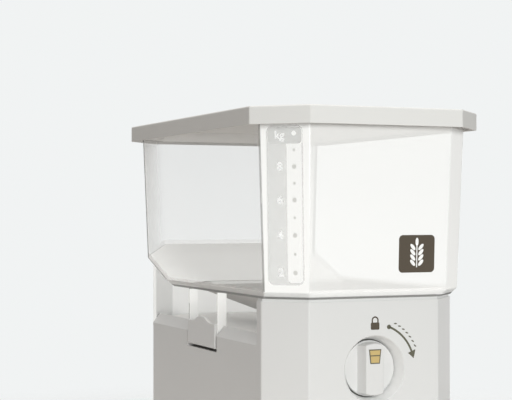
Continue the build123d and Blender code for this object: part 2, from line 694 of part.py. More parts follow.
def front_panel():
    """Front and front corners of the stand, with the dial's bowl and the tray's opening."""
    walls = stand_walls(STAND_LIFT, STAND_HEIGHT)
    panel = walls & block((-LID_WIDTH, LID_WIDTH), (-LID_DEPTH, SPLIT_Y), (0, STAND_HEIGHT))
    step = (STAND_HEIGHT - SHADOW_HEIGHT, STAND_HEIGHT)
    panel -= STAND.prism(*step) - STAND.inset(SHADOW_DEPTH).prism(*step)
    floor_radius = KNOB_RADIUS + BOWL_GAP
    back_radius = floor_radius + STAND_WALL
    panel += cone(BOWL_MOUTH_RADIUS + STAND_WALL, back_radius, STAND.front, BOWL_BACK_Y, DIAL_Z)
    panel -= cone(BOWL_MOUTH_RADIUS, floor_radius, STAND.front, BOWL_Y, DIAL_Z)
    panel = fillet(panel.edges().filter_by(GeomType.CIRCLE).sort_by(Axis.Y)[0], BOWL_ROUND)
    panel -= rod(BUSH_RADIUS, BOWL_Y, BOWL_BACK_Y, z=DIAL_Z)
    door_half = TRAY_WIDTH / 2 + TRAY_DOOR_GAP
    door_z = (TRAY_Z - TRAY_SILL_GAP, TRAY_TOP_Z + TRAY_DOOR_GAP)
    panel -= block((-door_half, door_half), (STAND.front, STAND.front + STAND_WALL), door_z)
    inside = STAND.half - STAND_WALL
    middle = (STAND_LIFT + SILL_Z) / 2
    for side in (-1, 1):
        near, far = side * (inside - TAB_THICKNESS), side * inside
        across = (min(near, far), max(near, far))
        run = (SPLIT_Y - TAB_LENGTH / 2, SPLIT_Y + TAB_LENGTH / 2)
        panel += block(across, run, (middle - TAB_HEIGHT / 2, middle + TAB_HEIGHT / 2))
    return panel


def deck():
    """Plate over the tray's bay, with two walls that stand on the bottom plate."""
    outline = Octagon(DECK_HALF, DECK_FRONT_Y, DECK_REAR_Y, STAND_CORNER)
    low = DECK_Z - DECK_THICKNESS
    plate = outline.prism(low, DECK_Z)
    hole = HOUSING_RADIUS + DECK_HOLE_GAP
    plate -= block((-hole, hole), (DECK_FRONT_Y, CAP_END_Y + DECK_HOLE_GAP), (low, DECK_Z))
    for x, y in flange_screw_places():
        plate -= post(SCREW_RADIUS + SCREW_FIT, x, y, low, DECK_Z)
    run = (DECK_FRONT_Y + STAND_CORNER, DECK_REAR_Y - TUNNEL_REAR_MARGIN)
    for side in (-1, 1):
        near, far = side * TUNNEL_HALF, side * (TUNNEL_HALF + TUNNEL_WALL)
        plate += block((min(near, far), max(near, far)), run, (FLOOR_Z, low))
    return plate


def foot_places():
    x = STAND.half - FOOT_INSET
    return [(sx, y) for sx in (-x, x) for y in (STAND.front + FOOT_INSET, STAND.rear - FOOT_INSET)]


def boss_places():
    ends = (SPLIT_Y + BOSS_END, STAND.rear - STAND.corner - BOSS_END)
    return [(x, y) for x in (-BOSS_X, BOSS_X) for y in ends]


def bottom_plate():
    """Floor of the stand."""
    plate = STAND.inset(STAND_WALL + PLATE_GAP).prism(PLATE_Z, FLOOR_Z)
    for x, y in boss_places():
        plate -= post(SCREW_RADIUS + SCREW_FIT, x, y, PLATE_Z, FLOOR_Z)
    for x, y in foot_places():
        plate -= post(FOOT_STUD_RADIUS + SCREW_FIT, x, y, PLATE_Z, FLOOR_Z)
    return plate


def feet():
    """Four rubber feet with studs through the bottom plate."""
    made = []
    for x, y in foot_places():
        foot = post(FOOT_RADIUS, x, y, 0, PLATE_Z)
        foot = chamfer(foot.edges().group_by(Axis.Z)[0], FOOT_CHAMFER)
        made.append(foot + post(FOOT_STUD_RADIUS, x, y, PLATE_Z, FLOOR_Z))
    return made


def screw(length):
    """Pan-head screw with a cross recess, pointing down, its head seated on Z = 0."""
    made = post(SCREW_HEAD_RADIUS, 0, 0, 0, SCREW_HEAD) + post(SCREW_RADIUS, 0, 0, -length, 0)
    across, along = (-CROSS_WIDTH / 2, CROSS_WIDTH / 2), (-CROSS_LENGTH / 2, CROSS_LENGTH / 2)
    depth = (SCREW_HEAD - CROSS_DEPTH, SCREW_HEAD)
    return made - (block(across, along, depth) + block(along, across, depth))


def base_screws():
    """Screws from below through the bottom plate into the shell's columns."""
    made = screw(PLATE_THICKNESS + SCREW_LENGTH - SCREW_HEAD)
    return [Pos(x, y, PLATE_Z) * Rot(180, 0, 0) * made for x, y in boss_places()]


def housing_screws():
    """Screws that hold the housing's flange to the deck."""
    made = screw(FLANGE_SCREW_LENGTH)
    return [Pos(x, y, NECK_Z) * made for x, y in flange_screw_places()]


def cap_screws():
    """Screws that hold the rear cap to the housing."""
    made = Rot(-90, 0, 0) * screw(CAP_SCREW_LENGTH)
    return [Pos(x, CAP_END_Y, z) * made for x, z in cap_screw_places()]


def tray_runners():
    """Two rails on the bottom plate that the tray slides on."""
    made = []
    outer = TRAY_WIDTH / 2 - RUNNER_INSET
    run = (STAND.front + STAND_WALL, STAND.front + TRAY_LENGTH)
    for side in (-1, 1):
        near, far = side * (outer - RUNNER_WIDTH), side * outer
        made.append(block((min(near, far), max(near, far)), run, (FLOOR_Z, TRAY_Z)))
    return made


def rice_tray():
    """Open box that catches the measured rice."""
    half = TRAY_WIDTH / 2
    run = (STAND.front, STAND.front + TRAY_LENGTH)
    tray = block((-half, half), run, (TRAY_Z, TRAY_TOP_Z))
    tray = fillet(tray.edges().filter_by(Axis.Z), TRAY_RADIUS)
    hollow = block(
        (-half + TRAY_WALL, half - TRAY_WALL),
        (run[0] + TRAY_WALL, run[1] - TRAY_WALL),
        (TRAY_Z + TRAY_WALL, TRAY_TOP_Z),
    )
    return tray - fillet(hollow.edges().filter_by(Axis.Z), TRAY_RADIUS - TRAY_WALL)


def tray_front():
    """Face of the tray, with a pull that hooks down over the fingers."""
    half = TRAY_WIDTH / 2 + TRAY_DOOR_GAP + TRAY_FRONT_LAP
    low = TRAY_Z - TRAY_SILL_GAP - TRAY_FRONT_LAP
    high = TRAY_TOP_Z + TRAY_DOOR_GAP + TRAY_FRONT_LAP
    face_y = STAND.front - TRAY_FRONT_THICKNESS
    front = block((-half, half), (face_y, STAND.front), (low, high))
    front = fillet(front.edges().filter_by(Axis.Y), TRAY_FRONT_RADIUS)
    front = fillet(front.faces().sort_by(Axis.Y)[0].edges(), TRAY_FRONT_ROUND)
    top = high - PULL_DROP
    across = (-PULL_WIDTH / 2, PULL_WIDTH / 2)
    reach_y = face_y - PULL_REACH
    pull = block(across, (reach_y, face_y), (top - PULL_THICKNESS, top))
    pull += block(across, (reach_y, reach_y + PULL_THICKNESS), (top - PULL_LIP, top))
    return front + fillet(pull.edges().filter_by(Axis.X).group_by(Axis.Y)[0], PULL_ROUND)


def side_latch():
    """Flap of the right side: it turns on its foot's pin and hooks over the bar of the hopper's legs."""
    inner = FLAP_INNER
    half = LATCH_WIDTH / 2
    top = LATCH_FOOT_Z + LATCH_HEIGHT
    peak = top + HUMP_HEIGHT
    hump = [(HUMP_WIDTH / 2, top), (HUMP_TOP / 2, peak), (-HUMP_TOP / 2, peak), (-HUMP_WIDTH / 2, top)]
    sides = [(-half, top), (-half, LATCH_FOOT_Z), (half, LATCH_FOOT_Z), (half, top)]
    outline = make_face(Polyline(*hump, *sides, close=True))
    bends = [v for v in outline.vertices() if v.Y >= top and abs(v.X) < half]
    flap = extrude(Plane.YZ.offset(inner) * fillet(bends, HUMP_RADIUS), LATCH_THICKNESS)
    flap = fillet(flap.faces().sort_by(Axis.X)[-1].edges(), LATCH_ROUND)
    flap += rod(PIN_RADIUS + PIN_FIT + KNUCKLE_WALL, -half, half, PIN_X, PIN_Z)
    hook_low = BAR_TOP_Z + HOOK_GAP
    hook_across = (-HOOK_WIDTH / 2, HOOK_WIDTH / 2)
    flap += block((BAR_OUTER - HOOK_OVER, inner), hook_across, (hook_low, hook_low + HOOK_THICKNESS))
    return flap - rod(PIN_RADIUS + PIN_FIT, -half, half, PIN_X, PIN_Z)


def latch_pin():
    """Steel pin of the right latch."""
    end = NOTCH_HALF + PIN_END - PIN_FIT
    return rod(PIN_RADIUS, -end, end, PIN_X, PIN_Z)


LATCH = side_latch()
PIN = latch_pin()
NODES = {
    "lid_shell": lid_shell(),
    "lid_gasket": lid_gasket(),
    "pack_holder": pack_holder(),
    "hopper": hopper(),
    "scale_panel": scale_panel(),
    "outlet_funnel": outlet_funnel(),
    "outlet_seal": outlet_seal(),
    "drum_housing": drum_housing(),
    "housing_cap": housing_cap(),
    "metering_drum": metering_drum(),
    "drive_shaft": drive_shaft(),
    "shaft_clip": shaft_clip(),
    "front_bush": front_bush(),
    "rear_bush": rear_bush(),
    "dial_knob": dial_knob(),
    "base_shell": base_shell(),
    "front_panel": front_panel(),
    "deck": deck(),
    "bottom_plate": bottom_plate(),
    "feet": feet(),
    "base_screws": base_screws(),
    "housing_screws": housing_screws(),
    "cap_screws": cap_screws(),
    "tray_runners": tray_runners(),
    "rice_tray": rice_tray(),
    "tray_front": tray_front(),
    "latch_right": LATCH,
    "latch_left": mirrored(LATCH),
    "latch_pin_right": PIN,
    "latch_pin_left": mirrored(PIN),
}

os.makedirs("parts", exist_ok=True)
for name, made in NODES.items():
    pieces = made if isinstance(made, list) else [made]
    solids = [solid for piece in pieces for solid in piece.solids()]
    export_step(Compound(solids), f"parts/{name}.step")
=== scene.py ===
# Rice storage bin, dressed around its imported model. Metres, +Z up, the front facing -Y.
import math

import bmesh
import bpy
import numpy as np
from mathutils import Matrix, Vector


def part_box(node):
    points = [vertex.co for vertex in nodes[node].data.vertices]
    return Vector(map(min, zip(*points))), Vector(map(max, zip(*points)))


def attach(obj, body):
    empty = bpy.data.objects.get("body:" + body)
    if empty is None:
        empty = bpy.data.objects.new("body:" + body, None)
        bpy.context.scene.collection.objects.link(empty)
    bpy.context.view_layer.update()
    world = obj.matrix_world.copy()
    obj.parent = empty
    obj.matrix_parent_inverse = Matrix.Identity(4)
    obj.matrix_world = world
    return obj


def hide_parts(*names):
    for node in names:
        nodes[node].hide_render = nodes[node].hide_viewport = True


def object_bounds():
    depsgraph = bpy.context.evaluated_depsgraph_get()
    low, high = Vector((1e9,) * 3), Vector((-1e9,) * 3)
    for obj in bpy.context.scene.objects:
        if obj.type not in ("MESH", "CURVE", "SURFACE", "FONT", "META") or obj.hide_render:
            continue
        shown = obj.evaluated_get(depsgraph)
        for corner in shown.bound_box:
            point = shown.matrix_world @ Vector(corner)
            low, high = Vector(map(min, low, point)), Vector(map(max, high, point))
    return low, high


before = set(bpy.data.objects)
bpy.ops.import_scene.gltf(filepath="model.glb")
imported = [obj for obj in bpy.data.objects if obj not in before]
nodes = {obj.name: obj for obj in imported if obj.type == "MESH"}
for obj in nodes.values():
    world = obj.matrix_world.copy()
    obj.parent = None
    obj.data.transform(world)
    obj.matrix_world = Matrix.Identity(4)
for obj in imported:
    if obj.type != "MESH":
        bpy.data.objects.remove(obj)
cad_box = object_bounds()

# Feet
# Four round feet of dark rubber, each held by a stud that is pressed through the bottom plate.
# Cast rubber is matt and slightly mottled.
RUBBER_DARK, RUBBER_PALE = (0.012, 0.012, 0.013, 1), (0.026, 0.026, 0.026, 1)
MOTTLE_CELLS = 160
PORE_CELLS, PORE_DEPTH = 1500, 0.00006
FOOT_EASE = 0.0006


class Value:
    """A socket among a finish's nodes. Arithmetic on it adds Math nodes, with numbers on either side."""

    def __init__(self, finish, socket):
        self.finish = finish
        self.socket = socket

    def math(self, operation, *others):
        """What a Math node makes of this value and the others, in that order."""
        return self.finish.node("Math", {"operation": operation}, dict(enumerate((self, *others))))

    def __add__(self, other):
        return self.math("ADD", other)

    __radd__ = __add__

    def __mul__(self, other):
        return self.math("MULTIPLY", other)

    __rmul__ = __mul__

    def __sub__(self, other):
        return self.math("SUBTRACT", other)

    def __rsub__(self, other):
        return self.finish.node("Math", {"operation": "SUBTRACT"}, {0: other, 1: self})

    def __neg__(self):
        return 0 - self

    def __abs__(self):
        return self.math("ABSOLUTE")

    def least(self, other):
        return self.math("MINIMUM", other)

    def most(self, other):
        return self.math("MAXIMUM", other)

    def ramp(self, start, end):
        """0 up to start and 1 from end on, easing in between."""
        span = {"Value": self, "From Min": start, "From Max": end}
        return self.finish.node("MapRange", {"interpolation_type": "SMOOTHSTEP"}, span)

    def band(self, start, end, soft):
        """1 between start and end, falling to 0 over a soft margin outside them."""
        return self.ramp(start - soft, start) * (1 - self.ramp(end, end + soft))

    def output(self, name):
        """Another output of the same node."""
        return Value(self.finish, self.socket.node.outputs[name])


class Finish:
    """The nodes of a material or a world: its own shader, and what varies it over the surface."""

    def __init__(self, owner, shader="Principled BSDF"):
        owner.use_nodes = True
        self.owner = owner
        self.tree = owner.node_tree
        self.shader = self.tree.nodes[shader]

    def fill(self, node, inputs):
        for name, value in inputs.items():
            if isinstance(value, Value):
                self.tree.links.new(value.socket, node.inputs[name])
            else:
                node.inputs[name].default_value = value

    def node(self, kind, settings=None, inputs=None, output=0):
        """Adds a node: first its settings, then the numbers, colours or links of its sockets."""
        node = self.tree.nodes.new("ShaderNode" + kind)
        for name, setting in (settings or {}).items():
            setattr(node, name, setting)
        self.fill(node, inputs or {})
        return Value(self, node.outputs[output])

    def shade(self, inputs):
        self.fill(self.shader, inputs)

    def place(self):
        return self.node("TexCoord", output="Object")

    def normal(self):
        return self.node("NewGeometry", output="Normal")

    def vector(self, operation, *vectors, output="Vector"):
        """What a Vector Math node makes of the vectors."""
        return self.node("VectorMath", {"operation": operation}, dict(enumerate(vectors)), output)

    def parts(self, vector):
        """The vector's x, y and z."""
        x = self.node("SeparateXYZ", inputs={"Vector": vector})
        return x, x.output("Y"), x.output("Z")

    def direction(self, x, y, z):
        """The unit vector that points the way of x, y and z."""
        return self.vector("NORMALIZE", self.node("CombineXYZ", inputs={"X": x, "Y": y, "Z": z}))

    def noise(self, cells, detail):
        """Soft random grain from 0 to 1, with that many cells to the metre."""
        return self.node("TexNoise", inputs={"Vector": self.place(), "Scale": cells, "Detail": detail})

    def mix(self, share, first, second):
        """The first colour at share 0, the second at 1."""
        colors = {0: share, 6: first, 7: second}  # a Mix node's own numbers for its colours
        return self.node("Mix", {"data_type": "RGBA"}, colors, output=2)

    def outward(self, normal):
        """1 on faces seen from outside their solid, and -1 from within it."""
        return 1 - 2 * normal.output("Backfacing")

    def inward(self, margin=0.001):
        """1 on upright faces that look in towards the bin's axis, 0 on those that look away from it."""
        normal = self.normal()
        level = self.vector("MULTIPLY", self.place(), (1, 1, 0))
        reach = self.vector("DOT_PRODUCT", normal, level, output="Value")
        return 1 - (self.outward(normal) * reach).ramp(-margin, margin)

    def eased(self, radius):
        """The normal of faces whose edges are eased to that radius."""
        return self.node("Bevel", {"samples": 4}, {"Radius": radius})

    def bump(self, height, depth, normal):
        """The normal with relief of that depth in metres."""
        return self.node("Bump", inputs={"Height": height, "Distance": depth, "Normal": normal})


def dress(finish, *names):
    for name in names:
        nodes[name].material_slots[0].material = finish.owner


rubber = Finish(bpy.data.materials.new("foot_rubber"))
mottle = rubber.noise(MOTTLE_CELLS, detail=4)
pores = rubber.noise(PORE_CELLS, detail=2)
rubber.shade({
    "Base Color": rubber.mix(mottle, RUBBER_DARK, RUBBER_PALE),
    "Roughness": 0.72 + 0.22 * mottle,
    "Normal": rubber.bump(pores, PORE_DEPTH, rubber.eased(FOOT_EASE)),
})
dress(rubber, "feet")

# Bottom plate, deck and drum housing
# Pale grey mouldings inside the stand: the plate that carries the runners and the feet, the deck with the
# tray's side walls, and the barrel with its cap and drum. All have a plain satin finish.
GRAIN_CELLS, GRAIN_SHEEN = 2600, 0.14
DRIFT_CELLS, DRIFT_SHADE = 9, 0.965
EDGE_EASE = 0.0005


def satin_plastic(name, color, roughness, depth, specular=0.15, within=None, retone=None):
    """Moulded plastic: spark-eroded grain in fine relief, and a tone that drifts where the mould filled.

    Faces that look in towards the bin's axis may take a tone of their own, painted lighter as light or
    darker as shade, and so may what retone picks.
    """
    finish = Finish(bpy.data.materials.new(name))
    grain = finish.noise(GRAIN_CELLS, detail=2)
    shade = [DRIFT_SHADE * channel for channel in color]
    tone = finish.mix(finish.noise(DRIFT_CELLS, detail=3), (*shade, 1), (*color, 1))
    if within:
        tone = finish.mix(finish.inward(), tone, (*within, 1))
    if retone:
        tone = retone(finish, tone)
    finish.shade({
        "Base Color": tone,
        "Roughness": roughness + GRAIN_SHEEN * (grain - 0.5),
        "Specular IOR Level": specular,
        "Normal": finish.bump(grain, depth, finish.eased(EDGE_EASE)),
    })
    return finish


# Their pale colour is partly their own and partly painted light: it is set paler than the stand's white,
# which brightens the space inside the stand.
inner_plastic = satin_plastic("inner_plastic", color=(0.93, 0.925, 0.91), roughness=0.48, depth=0.000012)
dress(inner_plastic, "bottom_plate", "deck", "drum_housing", "housing_cap", "metering_drum")

# Screws, pins, shaft and clip
# Turned steel with a bright zinc plating, which clouds a little as it ages. The shaft runs from the dial
# through the drum, and the clip holds it behind the rear bush.
STEEL_DULL, STEEL_BRIGHT = (0.46, 0.47, 0.49, 1), (0.66, 0.66, 0.65, 1)
CLOUD_CELLS = 220
TURNING_CELLS, TURNING_DEPTH = 3200, 0.000006
STEEL_EASE = 0.0003
steel = Finish(bpy.data.materials.new("zinc_steel"))
cloud = steel.noise(CLOUD_CELLS, detail=4)
turning = steel.noise(TURNING_CELLS, detail=1)
steel.shade({
    "Base Color": steel.mix(cloud, STEEL_DULL, STEEL_BRIGHT),
    "Metallic": 1.0,
    "Roughness": 0.24 + 0.2 * cloud,
    "Normal": steel.bump(turning, TURNING_DEPTH, steel.eased(STEEL_EASE)),
})
dress(steel, "base_screws", "housing_screws", "cap_screws", "latch_pin_right", "latch_pin_left")
dress(steel, "drive_shaft", "shaft_clip")

# Bushes and tray runners
# Slippery ivory mouldings that run dry against the shaft and under the tray, with a smoother face than
# the stand's.
bush_plastic = satin_plastic("bush_plastic", color=(0.66, 0.63, 0.54), roughness=0.36, depth=0.000006)
dress(bush_plastic, "front_bush", "rear_bush", "tray_runners")

# Stand
# White mouldings: the shell with the sides and the back, and the front panel that wraps both corners and
# clips on by two tabs. Their outside has the fine even grain of a textured mould. Their inside is painted
# lighter as light, the dish round the dial is painted paler as light, and the gap between dish and knob is
# painted dark as shade.
STAND_WHITE, STAND_INSIDE_PAINTED_LIGHT = (0.72, 0.72, 0.712), (0.88, 0.875, 0.865)
# Painted light in the dish round the dial, and painted shade in the gap round the knob.
DISH_PAINTED_LIGHT, GAP_PAINTED_SHADE = (0.90, 0.90, 0.89), (0.10, 0.10, 0.095)
DISH_REACH, DISH_SOFT = 0.034, 0.0004
SUNK_START, SUNK_FULL = 0.0002, 0.0006
KNOB_GAP, GAP_SOFT = 0.0012, 0.0002
knob_low, knob_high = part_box("dial_knob")
dial_x, dial_z = (knob_low.x + knob_high.x) / 2, (knob_low.z + knob_high.z) / 2
gap_reach = (knob_high.x - knob_low.x) / 2 + KNOB_GAP
front_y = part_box("front_panel")[0].y


def dial_dish(finish, tone):
    """Painted light where the front is sunk round the dial, and painted shade up to just outside the knob's
    rim.
    """
    x, y, z = finish.parts(finish.place())
    dx, dz = x - dial_x, z - dial_z
    reach = (dx * dx + dz * dz).math("SQRT")
    sunk = y.ramp(front_y + SUNK_START, front_y + SUNK_FULL)
    dish_light = sunk * (1 - reach.ramp(DISH_REACH - DISH_SOFT, DISH_REACH))
    gap_shade = 1 - reach.ramp(gap_reach - GAP_SOFT, gap_reach)
    tone = finish.mix(dish_light, tone, (*DISH_PAINTED_LIGHT, 1))
    return finish.mix(gap_shade, tone, (*GAP_PAINTED_SHADE, 1))


# Painted light: faces inside the stand are painted lighter than its outside.
stand_look = {"color": STAND_WHITE, "roughness": 0.42, "depth": 0.00001, "within": STAND_INSIDE_PAINTED_LIGHT}
stand_plastic = satin_plastic("stand_plastic", **stand_look)
dress(stand_plastic, "base_shell", "tray_front")
panel_plastic = satin_plastic("panel_plastic", **stand_look, retone=dial_dish)
dress(panel_plastic, "front_panel")

# Rice tray
# A moulded white box that slides on the runners and carries its own front. Its plastic is polished, so that
# no grain sticks to it.
tray_plastic = satin_plastic("tray_plastic", color=(0.78, 0.785, 0.78), roughness=0.22, depth=0.000003)
dress(tray_plastic, "rice_tray")

# Dial and side latches
# White satin mouldings that the hand works: the knob on the shaft's flat, and the two flaps that hook over
# the bar between the hopper's legs. Their faces are a little smoother than the stand's.
knob_plastic = satin_plastic("knob_plastic", color=(0.72, 0.718, 0.71), roughness=0.34, depth=0.000006)
dress(knob_plastic, "dial_knob", "latch_right", "latch_left")

# Marks round the dial
# Inks laid on the stand's front and on the grip by pad printing: a lock above the dial, an arrow that gives
# the way to turn, a row of grains beside it, and a measuring cup on the grip.
INK_GAP, INK_THICKNESS = 0.00004, 0.00012
INK_CELLS = 700
THIN_SHARE, THIN_LIFT = 0.9, 0.01
MERGE_REACH = 1e-7
FAR = 1.0  # far enough to be outside the bin on any side
FACING = (0, 1, 0)
ARROW_RADIUS = 0.0409
ARROW_START, ARROW_END = math.radians(20.5), math.radians(68.0)
ARROW_WIDTH, ARROW_DOT = 0.0019, 0.0021
HEAD_LENGTH, HEAD_HALF, HEAD_STEPS = 0.0070, 0.0042, 12
GRAIN_ROW_RADIUS, GRAIN_ROW_COUNT = 0.0462, 7
GRAIN_ROW_START, GRAIN_ROW_END = math.radians(27), math.radians(64)
GRAIN_LONG, GRAIN_SLIM, GRAIN_LEAN = 0.0016, 0.00062, math.radians(25)
LOCK_RISE = 0.0395
LOCK_WIDTH, LOCK_HEIGHT, LOCK_ROUND = 0.0088, 0.0066, 0.0012
BOW_RADIUS, BOW_WIDTH = 0.0029, 0.0013
BOW_RISE, BOW_SINK = 0.0020, 0.0002
CUP_TOP, CUP_FOOT, CUP_RISE, CUP_HEIGHT = 0.0052, 0.0040, 0.0118, 0.0112
CUP_LINE, CUP_LEVEL = 0.001, 0.0064


class Seat:
    """A spot where a mark lies: the place on a node's face, and the ways across, up and out of it."""

    def __init__(self, node, start, heading):
        depsgraph = bpy.context.evaluated_depsgraph_get()
        hit = nodes[node].ray_cast(Vector(start), Vector(heading), depsgraph=depsgraph)
        self.place = np.array(hit[1])
        self.out = np.array(hit[2])
        self.across = np.cross((0, 0, 1), self.out)
        self.across /= np.linalg.norm(self.across)
        self.up = np.cross(self.out, self.across)

    def points(self, flat, lift):
        """Points that lie at flat x and y from the spot, lifted off the face."""
        return self.place + flat[..., :1] * self.across + flat[..., 1:2] * self.up + lift * self.out


def front_seat(node, x, z):
    """A spot on the side of a node that faces the front."""
    return Seat(node, (x, front_y - FAR, z), FACING)


def clean_mesh(mesh):
    """Closes the seams and poles of a mesh and turns its faces outward."""
    form = bmesh.new()
    form.from_mesh(mesh)
    bmesh.ops.remove_doubles(form, verts=form.verts, dist=MERGE_REACH)
    bmesh.ops.recalc_face_normals(form, faces=form.faces)
    form.to_mesh(mesh)
    form.free()


def mark(name, mesh, finish, body="stand"):
    """A printed mark or plate that moves with a body. It casts no shadow."""
    made = bpy.data.objects.new(name, mesh)
    made.visible_shadow = False
    bpy.context.scene.collection.objects.link(made)
    mesh.name = name
    mesh.materials.append(finish.owner)
    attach(made, body)
    return made


def ring_skin(rows):
    """A skin over a grid of points: each row is a closed ring, and an end row at one point is a pole."""
    count, around = rows.shape[:2]
    here = np.arange(count * around).reshape(count, around)
    beside = np.roll(here, -1, axis=1)
    quads = np.stack([here[:-1], beside[:-1], beside[1:], here[1:]], axis=-1).reshape(-1, 4)
    mesh = bpy.data.meshes.new("skin")
    mesh.from_pydata(rows.reshape(-1, 3).tolist(), [], quads.tolist())
    clean_mesh(mesh)
    return mesh


def film_span(layer):
    """How far a film of ink lies off the face, below and on top, over that many other films."""
    low = INK_GAP + layer * (INK_GAP + INK_THICKNESS)
    return low, low + INK_THICKNESS


def patch(seat, outline, layer=0):
    """A thin slab inside an outline: from its centre out to the edge, over it and back underneath."""
    low, high = film_span(layer)
    middle = np.broadcast_to(outline.mean(axis=0), outline.shape)
    rings = [(middle, high), (outline, high), (outline, low), (middle, low)]
    return ring_skin(np.stack([seat.points(flat, lift) for flat, lift in rings]))


def ribbon(seat, left, right, layer=0):
    """A thin slab between two edges, given as points that go side by side, closed at both ends."""
    low, high = film_span(layer)
    edges = [(left, high), (right, high), (right, low), (left, low)]
    rows = np.stack([seat.points(flat, lift) for flat, lift in edges], axis=1)
    ends = [np.broadcast_to(row.mean(axis=0), (1, *row.shape)) for row in (rows[0], rows[-1])]
    return ring_skin(np.concatenate([ends[0], rows, ends[1]]))


def ellipse(x, y, long, slim, turn=0.0, count=24):
    """x + long cos t and y + slim sin t, turned about the centre."""
    t = np.linspace(0, 2 * math.pi, count, endpoint=False)
    u, v = long * np.cos(t), slim * np.sin(t)
    c, s = math.cos(turn), math.sin(turn)
    return np.stack([x + u * c - v * s, y + u * s + v * c], axis=-1)


def rounded_box(x, y, width, height, radius, count=48):
    """Four quarter circles round the corners' centres, joined by straight sides."""
    t = (np.arange(count) + 0.5) * 2 * math.pi / count
    u = np.sign(np.cos(t)) * (width / 2 - radius) + radius * np.cos(t)
    v = np.sign(np.sin(t)) * (height / 2 - radius) + radius * np.sin(t)
    return np.stack([x + u, y + v], axis=-1)


def sweep_points(radius, angles):
    """Points round a centre: radius sin t and radius cos t, with t clockwise from straight up."""
    return np.stack([radius * np.sin(angles), radius * np.cos(angles)], axis=-1)


def arc(radius, start, end, count=40):
    """Points on a circle from one angle to another."""
    return sweep_points(radius, np.linspace(start, end, count))


def line(*points):
    """Points given one by one."""
    return np.array(points, float)


def ink(name, color, roughness=0.5):
    """Printing ink: an even matt film whose tone varies a little with its thickness."""
    finish = Finish(bpy.data.materials.new(name))
    film = finish.noise(INK_CELLS, detail=3)
    thin = [THIN_SHARE * channel + THIN_LIFT for channel in color]
    finish.shade({
        "Base Color": finish.mix(film, (*thin, 1), (*color, 1)),
        "Roughness": roughness + 0.1 * film,
        "Specular IOR Level": 0.2,
    })
    return finish


olive_ink = ink("olive_ink", (0.125, 0.12, 0.085))
brown_ink = ink("brown_ink", (0.088, 0.07, 0.05))
gold_ink = ink("gold_ink", (0.60, 0.45, 0.19), roughness=0.35)

# Points round the dial's axis are given from that axis, and the spot lies straight above it.
above_dial = front_seat("front_panel", dial_x, dial_z + ARROW_RADIUS)
axis_shift = np.array([0.0, -ARROW_RADIUS])
inner_arc = arc(ARROW_RADIUS - ARROW_WIDTH / 2, ARROW_START, ARROW_END) + axis_shift
outer_arc = arc(ARROW_RADIUS + ARROW_WIDTH / 2, ARROW_START, ARROW_END) + axis_shift
mark("arrow_line", ribbon(above_dial, inner_arc, outer_arc), olive_ink)
dot_place = sweep_points(ARROW_RADIUS, ARROW_START) + axis_shift
mark("arrow_dot", patch(above_dial, ellipse(*dot_place, ARROW_DOT, ARROW_DOT)), olive_ink)
head_sweep = np.linspace(0, 1, HEAD_STEPS)
head_angles = ARROW_END + HEAD_LENGTH / ARROW_RADIUS * head_sweep
head_spread = HEAD_HALF * (1 - head_sweep)
head_left = sweep_points(ARROW_RADIUS - head_spread, head_angles) + axis_shift
head_right = sweep_points(ARROW_RADIUS + head_spread, head_angles) + axis_shift
mark("arrow_head", ribbon(above_dial, head_left, head_right), olive_ink)
for i, angle in enumerate(np.linspace(GRAIN_ROW_START, GRAIN_ROW_END, GRAIN_ROW_COUNT)):
    grain_place = sweep_points(GRAIN_ROW_RADIUS, angle) + axis_shift
    grain = ellipse(*grain_place, GRAIN_LONG, GRAIN_SLIM, GRAIN_LEAN - angle)
    mark(f"arrow_grain_{i}", patch(above_dial, grain), olive_ink)

lock_seat = front_seat("front_panel", dial_x, dial_z + LOCK_RISE)
lock_top = LOCK_HEIGHT / 2
mark("lock_body", patch(lock_seat, rounded_box(0, 0, LOCK_WIDTH, LOCK_HEIGHT, LOCK_ROUND)), brown_ink)


def bow_edge(radius):
    """Half a circle above the lock's body, with straight feet that reach a little way into it."""
    half = arc(radius, -math.pi / 2, math.pi / 2) + (0, lock_top + BOW_RISE)
    feet = half[[0, -1]] * (1, 0) + (0, lock_top - BOW_SINK)
    return np.concatenate([feet[:1], half, feet[1:]])


bow = ribbon(lock_seat, bow_edge(BOW_RADIUS - BOW_WIDTH / 2), bow_edge(BOW_RADIUS + BOW_WIDTH / 2))
mark("lock_bow", bow, brown_ink)

cup_seat = front_seat("dial_knob", dial_x, dial_z + CUP_RISE)
cup_low, cup_high = -CUP_HEIGHT / 2, CUP_HEIGHT / 2
cup_level = cup_low + CUP_LEVEL


def cup_half(y):
    """Half the cup's width at a height, between its foot and its top."""
    return CUP_FOOT + (CUP_TOP - CUP_FOOT) * (y - cup_low) / CUP_HEIGHT


def cup_band(grow, low, high):
    """The left and right edges of the cup between two heights, grown on both sides."""
    left = line((-cup_half(low) - grow, low), (-cup_half(high) - grow, high))
    return left, left * (-1, 1)


cup_outline = cup_band(CUP_LINE, cup_low - CUP_LINE, cup_high + CUP_LINE)
cup_rice = cup_band(0.0, cup_low, cup_level - CUP_LINE / 2)
cup_room = cup_band(0.0, cup_level + CUP_LINE / 2, cup_high)
mark("cup_outline", ribbon(cup_seat, *cup_outline), olive_ink, "dial")
mark("cup_rice", ribbon(cup_seat, *cup_rice, layer=1), gold_ink, "dial")
mark("cup_room", ribbon(cup_seat, *cup_room, layer=1), gold_ink, "dial")

# Funnel and seals
# A light grey funnel dropped through the hopper's floor, painted darker as shade on its inner and upward
# faces, a soft ring under its outlet, and the flat ring in the lid. The silicone is cloudy white.
FUNNEL_GREY, FUNNEL_PAINTED_SHADE = (0.73, 0.725, 0.715), (0.66, 0.655, 0.64)
UPWARD_SHADE_START, UPWARD_SHADE_FULL = 0.1, 0.3
CLOUD_DEPTH = 0.002


def dusted(finish, tone):
    """Painted shade on what faces up."""
    normal = finish.normal()
    up = finish.parts(normal)[2] * finish.outward(normal)
    return finish.mix(up.ramp(UPWARD_SHADE_START, UPWARD_SHADE_FULL), tone, (*FUNNEL_PAINTED_SHADE, 1))


